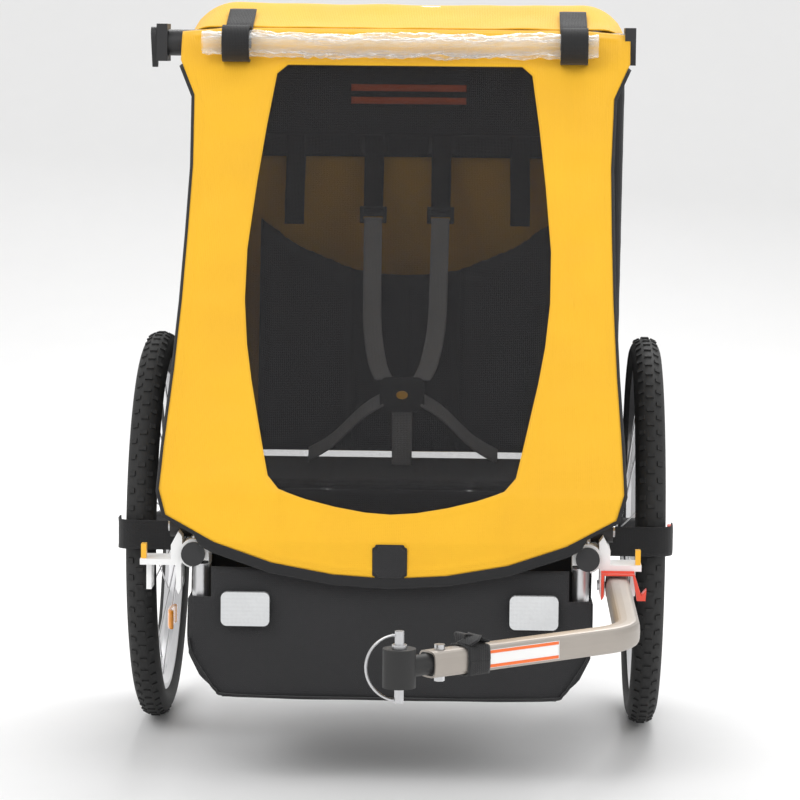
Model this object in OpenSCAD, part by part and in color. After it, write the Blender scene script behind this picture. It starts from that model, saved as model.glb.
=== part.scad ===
// Child bicycle trailer: a two-wheeled, single-seat fabric trailer with a folding tube
// frame, quick-release wheels and a tow bar that swings under the floor for storage.
// +Z is up, the trailer travels towards -Y, and X runs across it. "left" is the
// trailer's own left side, which is +X. The origin is the middle of its bounding box,
// on the ground.

/* [Overall] */
// Distance between the middle planes of the two tyres
track = 626; // [600:2:720]
// Outside diameter of a tyre
wheel_d = 500; // [470:5:560]
// Height of the roof tube's centre above the ground
roof_z = 911; // [860:5:1000]
// Length of the side rails in front of the axle
rail_front = 420; // [400:5:520]
// Length of the side rails behind the axle
rail_rear = 300; // [285:5:400]

/* [Frame] */
// Distance between the centres of the two side rails
rail_gap = 462; // [450:2:470]
// Outside diameter of the side rails
rail_d = 26; // [24:0.5:27]
// Wall of every tube
tube_wall = 2; // [1:0.25:3]
// Height of the side rails' centres
rail_z = 276; // [270:1:284]
// Outside diameter of the struts, hoop and cross tubes
hoop_d = 24; // [20:0.5:25]
// Distance between the centres of the front struts
strut_gap = 496; // [490:2:500]
// Height of the shoulder tube's centre
shoulder_z = 872; // [820:5:900]
// Distance of the shoulder tube behind the axle
shoulder_y = 50; // [0:5:80]
// Distance of the roof tube behind the axle
roof_y = 160; // [130:5:200]
// Radius of the roof tube's two bends
roof_bend = 70; // [50:5:90]

/* [Foot box] */
// Width of the foot box at its front
foot_w = 476; // [440:2:480]
// Height of the foot box's underside
foot_z = 105; // [85:5:130]
// How far the foot box's front face stands in front of the rails
foot_lead = 4; // [2:1:12]
// Distance of the foot box's rear wall in front of the axle
foot_rear = 120; // [110:5:150]

/* [Wheels] */
// Width of a tyre
tyre_w = 40; // [32:1:44]
// Diameter of the wheel axles
axle_d = 12; // [10:0.5:14]
// Number of spokes in a wheel
spoke_n = 20; // [16:4:28]
// Travel of the quick-release button
button_travel = 4; // [2:0.5:6]

/* [Tow bar] */
// Width and height of the square tow tube
tow_w = 28; // [24:1:28]
// Distance of the tow bar's pivot behind the rails' front ends
tow_pivot_back = 24; // [20:1:30]
// Height of the tow bar's pivot
tow_pivot_z = 242; // [240:1:246]
// Length of the tow tube's straight side run, from pivot to bend
tow_side_run = 304; // [280:2:360]
// Radius of the bend's centre line
tow_bend_r = 76; // [60:2:90]
// Angle of the bend
tow_bend_a = 51; // [45:1:60]
// Length of the slanting front run
tow_run = 237; // [200:1:250]
// Diameter of the hitch pin
hitch_d = 9.5; // [8:0.5:12]

/* [Clearances] */
// Radial clearance of a pin that turns
pin_clear = 0.05; // [0.03:0.01:0.08]
// Gap between soft pieces and their neighbours
soft_gap = 0.4; // [0.3:0.1:0.8]

/* [Hidden] */
$fn = 48;

// --- frame lines -----------------------------------------------------------------
wheel_r = wheel_d / 2;
rail_x = rail_gap / 2;
rail_r = rail_d / 2;
hoop_r = hoop_d / 2;
strut_x = strut_gap / 2;
wheel_x = track / 2;
tyre_in = wheel_x - tyre_w / 2;
hoop_x = tyre_in - 7 - hoop_r;
cap_t = 6;
rear_block_y = rail_rear - 20;
rear_pivot_z = rail_z + 26;
front_pivot_y = rail_front - 35;
front_pivot_z = rail_z + rail_r + hoop_r + 3;
strut_off = hoop_d + 2;
foot_front = rail_front + foot_lead;
tow_pivot_y = rail_front - tow_pivot_back;
tow_bend_y = tow_pivot_y + tow_side_run;
eye_more = 2;

// The strut's line passes under the shoulder tube, strut_off behind its centre.
strut_dy = shoulder_y + front_pivot_y;
strut_dz = shoulder_z - front_pivot_z;
strut_reach = norm([strut_dy, strut_dz]);
strut_a = atan2(strut_dz, strut_dy) - asin(strut_off / strut_reach);
strut_len = sqrt(strut_reach * strut_reach - strut_off * strut_off);

// The rear hoop's line, from its pivot to the roof tube.
hoop_dy = rear_block_y - roof_y;
hoop_dz = roof_z - rear_pivot_z;
hoop_len = norm([hoop_dy, hoop_dz]);
hoop_lean = atan2(hoop_dy, hoop_dz);

// --- tow bar lines ---------------------------------------------------------------
tow_x = strut_x + 18.5;
tow_end_x = tow_x - tow_bend_r * (1 - cos(tow_bend_a)) - tow_run * sin(tow_bend_a);
tow_end_y = -tow_bend_y - tow_bend_r * sin(tow_bend_a) - tow_run * cos(tow_bend_a);
hitch_out = 36;
hitch_x = tow_end_x - hitch_out * sin(tow_bend_a);
hitch_y = tow_end_y - hitch_out * cos(tow_bend_a);
hitch_head = 34;
front_most = -hitch_y + hitch_head / 2;
rear_most = rail_rear + cap_t;
axle_y = (front_most - rear_most) / 2;

// --- shared helpers --------------------------------------------------------------
module place() translate([0, axle_y, 0]) children();
module both() { children(); mirror([1, 0, 0]) children(); }
module x_rod(d, x0, x1, y, z) translate([x0, y, z]) rotate([0, 90, 0]) cylinder(d = d, h = x1 - x0);
module y_rod(d, x, y0, y1, z) translate([x, y0, z]) rotate([-90, 0, 0]) cylinder(d = d, h = y1 - y0);
module x_tube(d, x0, x1, y, z) difference() {
    x_rod(d, x0, x1, y, z);
    x_rod(d - 2 * tube_wall, x0 - 1, x1 + 1, y, z);
}
module block(x0, x1, y0, y1, z0, z1) translate([x0, y0, z0]) cube([x1 - x0, y1 - y0, z1 - z0]);
// A slab drawn in the YZ plane and given its width along X.
module side_slab(x0, x1) translate([x0, 0, 0]) rotate([90, 0, 90]) linear_extrude(x1 - x0) children();
// A slab drawn in the XZ plane and given its depth along Y.
module face_slab(y0, y1) translate([0, y1, 0]) rotate([90, 0, 0]) linear_extrude(y1 - y0) children();
// A strap drawn as a band between two points of the YZ plane.
module strap(x0, x1, p, q, t) {
    run = q - p;
    side_slab(x0, x1) translate(p) rotate(atan2(run[1], run[0])) translate([0, -t / 2])
        square([norm(run), t]);
}
module rounded(w, h, r) {
    square([w - 2 * r, h], center = true);
    square([w, h - 2 * r], center = true);
    for (x = [-1, 1], y = [-1, 1]) translate([x * (w / 2 - r), y * (h / 2 - r)]) circle(r);
}

// --- chassis ---------------------------------------------------------------------
module rail() difference() {
    y_rod(rail_d, rail_x, -rail_front, rail_rear, rail_z);
    y_rod(rail_d - 2 * tube_wall, rail_x, -rail_front - 1, rail_rear + 1, rail_z);
}
module side_rails() color("silver") place() both() rail();

module rail_end_caps() color([0.13, 0.13, 0.14]) place() both() {
    y_rod(rail_d + 2, rail_x, -rail_front - cap_t, -rail_front, rail_z);
    y_rod(rail_d - 2 * tube_wall - 0.2, rail_x, -rail_front, -rail_front + 14, rail_z);
    y_rod(rail_d + 2, rail_x, rail_rear, rail_rear + cap_t, rail_z);
    y_rod(rail_d - 2 * tube_wall - 0.2, rail_x, rail_rear - 14, rail_rear, rail_z);
}

block_in = rail_x - rail_r - 8;
block_out = tyre_in - 31;
axle_z = wheel_r;
module axle_tube() color("silver") place() x_tube(hoop_d, -block_in, block_in, 0, axle_z);
module rear_tube() color("silver") place() x_tube(hoop_d, -block_in, block_in, rear_block_y, rail_z);

// The axle block grips the side rail and holds the wheel's axle in a blind socket.
socket_in = block_in + 8;
module axle_block() difference() {
    face_slab(-24, 24) hull() {
        translate([rail_x, rail_z]) circle(r = rail_r + 5, $fn = 32);
        translate([block_in + 6, axle_z - 10]) circle(r = 6, $fn = 32);
        translate([block_out - 6, axle_z - 10]) circle(r = 6, $fn = 32);
        translate([block_out - 6, axle_z + 8]) circle(r = 6, $fn = 32);
        translate([block_in + 6, rail_z + 6]) circle(r = 6, $fn = 32);
    }
    y_rod(rail_d + 0.2, rail_x, -25, 25, rail_z);
    x_rod(axle_d + 0.1, socket_in, block_out + 1, 0, axle_z);
}
module axle_blocks() color([0.14, 0.14, 0.15]) place() both() axle_block();

// The rear block joins rail and rear tube, and carries the rear hoop's hinge pin.
ear_in = hoop_x - hoop_r - 5;
module rear_block() difference() {
    side_slab(block_in, ear_in) hull() {
        translate([rear_block_y, rail_z]) circle(r = rail_r + 5, $fn = 32);
        translate([rear_block_y, rear_pivot_z]) circle(r = 11, $fn = 32);
    }
    y_rod(rail_d + 0.2, rail_x, rear_block_y - 30, rear_block_y + 30, rail_z);
    x_rod(pin_d + 2 * pin_clear, block_in - 1, ear_in + 1, rear_block_y, rear_pivot_z);
}
module rear_blocks() color([0.14, 0.14, 0.15]) place() both() rear_block();

// The foot hoop hangs under the front ends of the rails and holds the foot box open.
foot_t = 4;
foot_hoop_d = 20;
foot_hoop_x = foot_w / 2 - foot_t - soft_gap - foot_hoop_d / 2;
foot_hoop_y = rail_front - 18;
foot_bend = 90;
foot_tube_z = foot_z + 16;
module foot_hoop() color("silver") place() translate([0, -foot_hoop_y, 0]) {
    both() {
        translate([foot_hoop_x, 0, foot_tube_z + foot_bend])
            cylinder(d = foot_hoop_d, h = rail_z - rail_r - 0.2 - foot_tube_z - foot_bend);
        translate([foot_hoop_x - foot_bend, 0, foot_tube_z + foot_bend]) rotate([90, 0, 0])
            rotate_extrude(angle = -90) translate([foot_bend, 0]) circle(d = foot_hoop_d);
    }
    x_rod(foot_hoop_d, -foot_hoop_x + foot_bend, foot_hoop_x - foot_bend, 0, foot_tube_z);
}

// --- receivers at the front of the rails -------------------------------------------
pin_d = 8;
receiver_y0 = -rail_front + 1;
receiver_y1 = receiver_y0 + 44;
arm_out = tyre_in + 1;
cheek_t = 6;
tow_in = tow_x - tow_w / 2 - 1;
tow_out = tow_x + tow_w / 2 + 1;
arm_z = tow_pivot_z + tow_w / 2 + 6;
module receiver_outline() {
    difference() {
        union() {
            translate([rail_x, rail_z]) circle(r = rail_r + 4);
            translate([rail_x - rail_r - 5, rail_z - 16]) square([6, 32]);
        }
        translate([rail_x, rail_z]) circle(d = rail_d + 0.2);
        translate([foot_hoop_x - foot_hoop_d / 2 - 0.5, rail_z - 40])
            square([foot_hoop_d + 1, 32]);
    }
    polygon([[rail_x + rail_r + 0.4, rail_z - 10], [rail_x + rail_r + 0.4, rail_z + 20],
        [rail_x + rail_r + 5, rail_z + 26], [tow_in + 6, rail_z + 10], [tow_in + 6, arm_z + 7],
        [arm_out, arm_z + 7], [arm_out, arm_z], [tow_in, arm_z],
        [tow_in, tow_pivot_z - 8], [tow_in - cheek_t / 2, tow_pivot_z - 15],
        [tow_in - cheek_t, tow_pivot_z - 8], [tow_in - cheek_t, arm_z]]);
}
ear_t = 10;
ear_x = strut_x - hoop_r - 2;
// The right one holds a thicker pin, a little further forward.
spare_pin_d = 10;
spare_lead = 3;
module receiver(bore_d, lead) difference() {
    union() {
        face_slab(receiver_y0, receiver_y1) receiver_outline();
        block(tow_out, tow_out + cheek_t, receiver_y1 - 32, receiver_y1, tow_pivot_z - 11, arm_z + 7);
        side_slab(ear_x - ear_t, ear_x) hull() {
            translate([-front_pivot_y, front_pivot_z]) circle(r = 10, $fn = 32);
            translate([-front_pivot_y - 9, rail_z + rail_r]) square([18, 2]);
        }
    }
    y_rod(rail_d + 0.2, rail_x, receiver_y0 - 1, receiver_y1 + 1, rail_z);
    x_rod(bore_d + 2 * pin_clear, tow_in - cheek_t - 1, tow_out + cheek_t + 1, -tow_pivot_y - lead, tow_pivot_z);
    x_rod(pin_d + 2 * pin_clear, ear_x - ear_t - 1, ear_x + 1, -front_pivot_y, front_pivot_z);
    // The strut's foot turns in this corner.
    block(ear_x, tow_out, -front_pivot_y - hoop_r - eye_more, receiver_y1 + 1,
        front_pivot_z - hoop_r - eye_more, front_pivot_z + 40);
}
module left_receiver() color([0.95, 0.95, 0.95]) place() receiver(pin_d, 0);
module right_receiver() color([0.95, 0.95, 0.95]) place() mirror([1, 0, 0]) receiver(spare_pin_d, spare_lead);

// Yellow snap tabs at the ends of the arms hold the wheel guards' hooks.
tab_x0 = arm_out - 7;
module receiver_tabs() color([0.98, 0.74, 0.2]) place() both()
    block(tab_x0, arm_out - 1, receiver_y0 + 4, receiver_y0 + 16, arm_z + 7, arm_z + 24);

// One screw through each saddle into its rail.
module receiver_screws() color("gray") place() both()
    translate([rail_x, receiver_y0 + 10, rail_z + rail_r + 4]) cylinder(d = 7, h = 2.4);

// --- wheel guards: webbing from the frame's front corner round the front of each tyre ---
guard_h = 36;
guard_z = 274;
guard_y = -wheel_r - 3;
guard_t = 2;
module guard() {
    x0 = rail_x + rail_r + 8;
    translate([0, 0, guard_z - guard_h / 2]) linear_extrude(guard_h) {
        translate([x0, guard_y - guard_t - 8]) square([wheel_x + tyre_w / 2 + 6 - x0, guard_t]);
        translate([wheel_x + tyre_w / 2 + 4, guard_y - guard_t - 8]) square([guard_t, 44]);
        translate([x0, guard_y - guard_t - 8]) square([guard_t, 20]);
    }
    block(rail_x + rail_r + 0.1, x0, guard_y - guard_t - 8, guard_y + 10, guard_z - guard_h / 2, guard_z + guard_h / 2);
}
module wheel_guards() color([0.1, 0.1, 0.1]) place() both() guard();

// --- floor -----------------------------------------------------------------------
// The foot box is a fabric trough, chamfered at its lower corners, open on top.
foot_top = rail_z - rail_r - soft_gap;
foot_half = foot_w / 2;
module foot_outline(inset) polygon([[-foot_half + inset, foot_top], [-foot_half + inset, foot_z + 62],
    [-foot_half + 18 + inset, foot_z + 26], [-foot_half + 42 + inset, foot_z + inset],
    [foot_half - 42 - inset, foot_z + inset], [foot_half - 18 - inset, foot_z + 26],
    [foot_half - inset, foot_z + 62], [foot_half - inset, foot_top]]);
module foot_box() color([0.17, 0.17, 0.18]) place() difference() {
    face_slab(-foot_front, -foot_rear) foot_outline(0);
    translate([0, 0, 0.01]) face_slab(-foot_front + foot_t, -foot_rear - foot_t) foot_outline(foot_t);
    // The hoop's legs and the tow bar's receivers stand in notches at the front corners.
    both() block(foot_hoop_x - foot_hoop_d / 2 - 1, foot_half + 1, -foot_front - 1, receiver_y1 + 1,
        tow_pivot_z - 17, foot_top + 1);
}

// The seat pan is a padded sling between the rails, with four flaps that lie on them.
seat_front = -foot_rear - 6;
seat_back_y = 150;
seat_t = 12;
seat_rise = 60;
seat_top = axle_z + hoop_r + seat_rise;
module seat_pan() color([0.15, 0.15, 0.16]) place() {
        block(-rail_x + rail_r + 2, rail_x - rail_r - 2, seat_front, seat_back_y, seat_top - seat_t, seat_top);
        both() for (y = [-60, 30])
            block(rail_x - rail_r - 12, rail_x, y, y + 30, rail_z + rail_r + 0.4, seat_top);
}

refl_x = 169;
refl_z = 213;
module reflector(y0, y1) face_slab(y0, y1) rounded(57, 40, 7);
module front_reflectors() color([0.8, 0.8, 0.8]) place()
    for (s = [-1, 1]) translate([s * refl_x, 0, refl_z]) reflector(-foot_front - 8, -foot_front);
module rear_reflectors() color([0.8, 0.1, 0.08]) place()
    for (s = [-1, 1]) translate([s * refl_x, 0, rail_z]) reflector(rear_block_y + hoop_r, rear_block_y + hoop_r + 8);

// --- rear assembly: hoop, shoulder tube and roof rails --------------------------------
module hoop_frame() translate([0, rear_block_y, rear_pivot_z]) rotate([hoop_lean, 0, 0]) children();
module rear_hoop() color("silver") place() hoop_frame() difference() {
    union() {
        both() {
            translate([hoop_x, 0, 0]) cylinder(d = hoop_d, h = hoop_len - roof_bend);
            translate([hoop_x - roof_bend, 0, hoop_len - roof_bend]) rotate([90, 0, 0])
                rotate_extrude(angle = 90) translate([roof_bend, 0]) circle(d = hoop_d);
            x_rod(hoop_d + eye_more, hoop_x - hoop_r - 1, hoop_x + hoop_r + 1, 0, 0);
        }
        x_rod(hoop_d, -hoop_x + roof_bend, hoop_x - roof_bend, 0, hoop_len);
    }
    x_rod(pin_d + 2 * pin_clear, -hoop_x - 20, hoop_x + 20, 0, 0);
}

elbow_in = 262;
elbow_out_l = 296;
elbow_out_r = 322;
module shoulder_tube() color("silver") place() x_tube(hoop_d, -elbow_in - 12, elbow_in + 12, shoulder_y, shoulder_z);

// The elbow joins the shoulder tube's end to the roof rail that runs back to the hoop.
rail_join_z = shoulder_z + 4;
hoop_join_y = rear_block_y - (rail_join_z - rear_pivot_z) * tan(hoop_lean);
module elbow(out) difference() {
    union() {
        x_rod(hoop_d + 10, elbow_in, out, shoulder_y, shoulder_z);
        y_rod(hoop_d + 8, elbow_in + 17, shoulder_y, shoulder_y + 34, shoulder_z);
        block(out - 14, out, shoulder_y - 20, shoulder_y + 26, shoulder_z - 24, shoulder_z + 24);
    }
    x_rod(hoop_d + 0.1, elbow_in - 1, elbow_in + 12.05, shoulder_y, shoulder_z);
    y_rod(roof_rail_d + 0.1, elbow_in + 17, shoulder_y + 18, shoulder_y + 40, shoulder_z);
    if (out > elbow_out_l)
        x_rod(lever_pin + 0.1, out - 15, out + 1, shoulder_y - 12, shoulder_z + 12);
}
module left_elbow() color([0.1, 0.1, 0.1]) place() elbow(elbow_out_l);
module right_elbow() color([0.1, 0.1, 0.1]) place() mirror([1, 0, 0]) elbow(elbow_out_r);

// The release lever turns on its own pin at the outer face of the right elbow.
lever_pin = 6;
lever_x = elbow_out_r + 0.4;
module elbow_lever() color([0.12, 0.12, 0.12]) place() mirror([1, 0, 0]) union() {
    side_slab(lever_x, lever_x + 7) hull() {
        translate([shoulder_y - 12, shoulder_z + 12]) circle(r = 8, $fn = 32);
        translate([shoulder_y + 4, shoulder_z - 26]) circle(r = 6, $fn = 32);
    }
    x_rod(lever_pin, elbow_out_r - 13, lever_x, shoulder_y - 12, shoulder_z + 12);
}

roof_rail_d = 18;
roof_rail_end = hoop_join_y - hoop_r / cos(hoop_lean) - 0.2
    - (roof_rail_d / 2 - rail_join_z + shoulder_z) * tan(hoop_lean);
module roof_rails() color("silver") place() both()
    y_rod(roof_rail_d, elbow_in + 17, shoulder_y + 18.2, roof_rail_end, shoulder_z);

// The pins of both pairs of hinges, each with a round head on its outer end.
module hinge_pins() color("gray") place() both() {
    x_rod(pin_d, block_in + 2, hoop_x + hoop_r + 1.2, rear_block_y, rear_pivot_z);
    x_rod(pin_d + 5, hoop_x + hoop_r + 1.2, hoop_x + hoop_r + 3.5, rear_block_y, rear_pivot_z);
    x_rod(pin_d, ear_x - ear_t, strut_x + hoop_r + 1.2, -front_pivot_y, front_pivot_z);
    x_rod(pin_d + 5, strut_x + hoop_r + 1.2, strut_x + hoop_r + 3.5, -front_pivot_y, front_pivot_z);
}

// A webbing-wrapped bar in front of the rear panel carries the harness. Bar and panel
// both end inside the struts, which pass them as the frame folds.
panel_half = strut_x - hoop_r - 3;
panel_front = hoop_r + 0.3;
bar_z = 737;
bar_t = 8;
bar_h = 32;
bar_up = (bar_z - rear_pivot_z) / cos(hoop_lean);
bar_front = panel_front - 0.3 - bar_t;
module harness_bar() color([0.08, 0.08, 0.08]) place() hoop_frame()
    block(-panel_half, panel_half, bar_front, bar_front + bar_t, bar_up - bar_h / 2, bar_up + bar_h / 2);

// --- struts ------------------------------------------------------------------------
module strut_frame() translate([0, -front_pivot_y, front_pivot_z]) rotate([strut_a - 90, 0, 0]) children();
foot_len = 34;
head_len = 40;
saddle_in = 7;
module strut() strut_frame() translate([strut_x, 0, foot_len - 16]) difference() {
    cylinder(d = hoop_d, h = strut_len - foot_len - 10);
    translate([0, 0, -1]) cylinder(d = hoop_d - 2 * tube_wall, h = strut_len);
}
module front_struts() color("silver") place() both() strut();

// Each foot is an eye on the hinge pin with a plug up into the strut.
module strut_feet() color([0.12, 0.12, 0.12]) place() both() strut_frame() difference() {
    union() {
        x_rod(hoop_d + eye_more, strut_x - hoop_r - 1, strut_x + hoop_r + 1, 0, 0);
        translate([strut_x, 0, 0]) cylinder(d = hoop_d, h = foot_len - 16.2);
        translate([strut_x, 0, 0]) cylinder(d = hoop_d - 2 * tube_wall - 0.2, h = foot_len + 14);
    }
    x_rod(pin_d + 2 * pin_clear, strut_x - 20, strut_x + 20, 0, 0);
}

// Each head is a shallow saddle that the shoulder tube rests in when the frame is up.
module strut_heads() color([0.12, 0.12, 0.12]) place() difference() {
    both() strut_frame() union() {
        translate([strut_x - hoop_r, saddle_in - strut_off, strut_len - 7.8]) cube([hoop_d, hoop_r + strut_off - saddle_in, 24]);
        translate([strut_x, 0, strut_len - head_len]) cylinder(d = hoop_d - 2 * tube_wall - 0.2, h = head_len);
    }
    x_rod(hoop_d + 0.8, -strut_x - 40, strut_x + 40, shoulder_y, shoulder_z);
}

// --- fabric body -------------------------------------------------------------------
// The cover's centre line, seen from the side: up the front, along the struts and over
// the shoulder tube.
cover_t = 3;
cover_off = hoop_r + 4;
function along_strut(s, off) = [-front_pivot_y + s * cos(strut_a) - off * sin(strut_a),
    front_pivot_z + s * sin(strut_a) + off * cos(strut_a)];
hem_y = -foot_front - 11;
cover_path = [[hem_y, foot_top - 25], [hem_y, rail_z + 18], along_strut(34, cover_off),
    along_strut(strut_len - 8, strut_off + hoop_r + 4), [shoulder_y - 1, shoulder_z + hoop_r + 4]];
function unit(v) = v / norm(v);
// The mitred normal of a path at its point i.
function path_normal(path, i) = let (a = unit(i > 0 ? path[i] - path[i - 1] : path[1] - path[0]),
        b = i < len(path) - 1 ? unit(path[i + 1] - path[i]) : a, m = unit(a + b))
    [-m[1], m[0]] / (m * a);
module band(path, t) polygon(concat([for (i = [0:len(path) - 1]) path[i] + t / 2 * path_normal(path, i)],
    [for (i = [len(path) - 1:-1:0]) path[i] - t / 2 * path_normal(path, i)]));
cover_half = 264;
window_top = shoulder_z - 27;
hem_z = foot_top - 17;
module cover_outline() polygon([[-elbow_in + 1.5, shoulder_z + 30], [-elbow_in + 1.5, shoulder_z - 60],
    [-cover_half, 560],
    [-cover_half - 20, 335], [-rail_x, 300], [-138, hem_z + 17], [-60, hem_z + 3], [0, hem_z],
    [60, hem_z + 3], [138, hem_z + 17], [rail_x, 300], [cover_half + 20, 335],
    [cover_half, 560], [elbow_in - 1.5, shoulder_z - 60], [elbow_in - 1.5, shoulder_z + 30]]);
module window_outline() polygon([[-160, window_top], [-177, 735], [-187, 620], [-186, 560],
    [-172, 470], [-156, 405], [-140, 356], [-70, 334], [0, 325], [70, 334], [140, 356],
    [156, 405], [172, 470], [186, 560], [187, 620], [177, 735], [160, window_top]]);
module front_cover() color([0.99, 0.78, 0.16]) place() difference() {
    intersection() {
        side_slab(-400, 400) band(cover_path, cover_t);
        face_slab(-600, 200) cover_outline();
    }
    face_slab(-600, 200) window_outline();
}
module mesh_window() color([0.1, 0.1, 0.1]) place() intersection() {
    side_slab(-400, 400) band(cover_path, cover_t - 1);
    face_slab(-600, 200) offset(delta = -0.4) window_outline();
}

// A plain badge sewn on below the window.
module cover_patch() color([0.1, 0.1, 0.1]) place()
    face_slab(hem_y - cover_t / 2 - 1.4, hem_y - cover_t / 2) translate([0, hem_z + 26])
        rounded(38, 38, 8);

// The roof runs from the shoulder tube to the roof tube and a little down behind it.
roof_half = hoop_x - 14;
roof_path = [[shoulder_y + 2, shoulder_z + hoop_r + 4], [roof_y - 4, roof_z + hoop_r + 3],
    [roof_y + 12, roof_z + hoop_r - 1], [roof_y + 23, roof_z - 6]];
module roof_panel() color([0.98, 0.76, 0.12]) place()
    side_slab(-roof_half, roof_half) band(roof_path, cover_t);

// The rear panel hangs behind the roof tube.
rear_t = 3;
module rear_panel() color([0.9, 0.65, 0.12]) place() hoop_frame()
    block(-panel_half, panel_half, panel_front, panel_front + rear_t, 30, hoop_len - 2);

// Each side panel fills the space between strut, rail and hoop.
side_t = 2;
side_in = 10;
side_x = hoop_x - side_in;
side_off = sqrt(hoop_r * hoop_r - pow(hoop_x - side_x - side_t, 2)) + soft_gap;
function along_hoop(s, off) = [rear_block_y - s * sin(hoop_lean) - off * cos(hoop_lean),
    rear_pivot_z + s * cos(hoop_lean) - off * sin(hoop_lean)];
module side_panels() color([0.12, 0.12, 0.12]) place() both() side_slab(side_x, side_x + side_t)
    polygon([along_strut(60, 0), along_strut(strut_len - 66, 0), along_hoop(hoop_len - 130, side_off),
        along_hoop(60, side_off), [0, rail_z + 60]]);

// The clear rain cover is rolled up in front of the shoulder tube, under two straps.
roll_r = 21;
roll_wrap = 3;
roll_down = 25;
cover_run = cover_path[3] - cover_path[2];
cover_dir = cover_run / norm(cover_run);
roll_c = cover_path[3] - roll_down * cover_dir
    + (roll_r + roll_wrap + soft_gap + cover_t / 2) * [-cover_dir[1], cover_dir[0]];
module rain_roll() color([0.8, 0.82, 0.85]) place() x_rod(2 * roll_r, -262, 249, roll_c[0], roll_c[1]);
module roll_straps() color([0.08, 0.08, 0.08]) place() both() {
    difference() {
        x_rod(2 * (roll_r + roll_wrap), 199, 234, roll_c[0], roll_c[1]);
        x_rod(2 * roll_r + 0.6, 198, 235, roll_c[0], roll_c[1]);
    }
}

// --- seat and harness ----------------------------------------------------------------
back_t = 12;
back_foot = [118, seat_top + 1.4];
back_head = [172, 650];
back_lean = atan2(back_head[0] - back_foot[0], back_head[1] - back_foot[1]);
module back_frame() translate([0, back_foot[0], back_foot[1]]) rotate([-back_lean, 0, 0]) children();
module seat_back() color([0.14, 0.14, 0.15]) place() back_frame() face_slab(-back_t / 2, back_t / 2)
    polygon([[-205, 0], [-205, 329], [-150, 293], [-75, 262], [0, 252], [75, 262], [150, 293],
        [205, 329], [205, 0]]);
strap_w = 26;
strap_t = 2.4;
upper_x = 45;
outer_x = 150;
module upper_webbing() color([0.07, 0.07, 0.07]) place() {
    strap_top = along_hoop(bar_up + bar_h / 2 - 2, -(bar_front - strap_t / 2 - 0.2));
    for (s = [-1, 1]) {
        strap(s * upper_x - strap_w / 2, s * upper_x + strap_w / 2, strap_top,
            [back_head[0] - 8, 644], strap_t);
        block(s * upper_x - strap_w / 2 - 4, s * upper_x + strap_w / 2 + 4, back_head[0] - 13,
            back_head[0] - 5, 640, 664);
        strap(s * outer_x - strap_w / 2, s * outer_x + strap_w / 2, strap_top,
            [back_head[0] - 1, 630], strap_t);
    }
}
buckle_y = 20;
buckle_z = 420;
module lower_webbing() color([0.28, 0.28, 0.29]) place() for (s = [-1, 1]) {
    side_slab(s * upper_x - 12, s * upper_x + 12)
        band([[back_head[0] - 12, 639.2], [96, 500], [buckle_y + 10, buckle_z + 14]], strap_t);
    hull() {
        translate([s * (upper_x - 10), buckle_y, buckle_z]) cube([strap_t, strap_t, 24], center = true);
        translate([s * 120, 70, seat_top + 12.4]) cube([strap_t, strap_t, 24], center = true);
    }
}
buckle_t = 14;
module harness_buckle() color([0.09, 0.09, 0.09]) place() difference() {
    face_slab(buckle_y - buckle_t / 2, buckle_y + buckle_t / 2) translate([0, buckle_z]) rounded(58, 44, 9);
    face_slab(buckle_y - buckle_t / 2 - 1, buckle_y) translate([0, buckle_z]) scale([1.4, 1]) circle(d = 11);
}
module buckle_button() color([0.95, 0.65, 0.1]) place()
    face_slab(buckle_y - buckle_t / 2 - 2, buckle_y - 3) translate([0, buckle_z]) scale([1.4, 1]) circle(d = 10.6);
module crotch_strap() color([0.28, 0.28, 0.29]) place()
    strap(-13, 13, [buckle_y, buckle_z - 22.4], [buckle_y + 14, seat_top + 0.6], strap_t);

// --- wheels --------------------------------------------------------------------------
tyre_r = tyre_w / 2;
rim_out = wheel_r - tyre_w + 6;
rim_in = rim_out - 18;
module spin() translate([wheel_x, 0, axle_z]) rotate([0, 90, 0]) children();
module tyre() spin() rotate_extrude($fn = 96) difference() {
    translate([wheel_r - tyre_r, 0]) circle(tyre_r);
    translate([wheel_r - tyre_r, 0]) circle(tyre_r - 4);
    translate([rim_in, -12.3]) square([rim_out + 0.2 - rim_in, 24.6]);
}
module rim() spin() rotate_extrude($fn = 96) polygon([[rim_in, -6], [rim_in, 6], [rim_out - 8, 12],
    [rim_out, 12], [rim_out, 9.5], [rim_out - 7, 9.5], [rim_out - 9, -9.5], [rim_out - 7, -9.5],
    [rim_out, -9.5], [rim_out, -12], [rim_out - 8, -12]]);
flange_r = 23;
flange_in = -27;
flange_out = 20;
module hub() spin() difference() {
    union() {
        translate([0, 0, flange_in - 4]) cylinder(r = 15, h = flange_out - flange_in + 5);
        for (z = [flange_in - 1.5, flange_out - 1.5]) translate([0, 0, z]) cylinder(r = flange_r, h = 3);
    }
    translate([0, 0, flange_in - 5]) cylinder(d = axle_d + 2 * pin_clear, h = 60);
}
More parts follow.
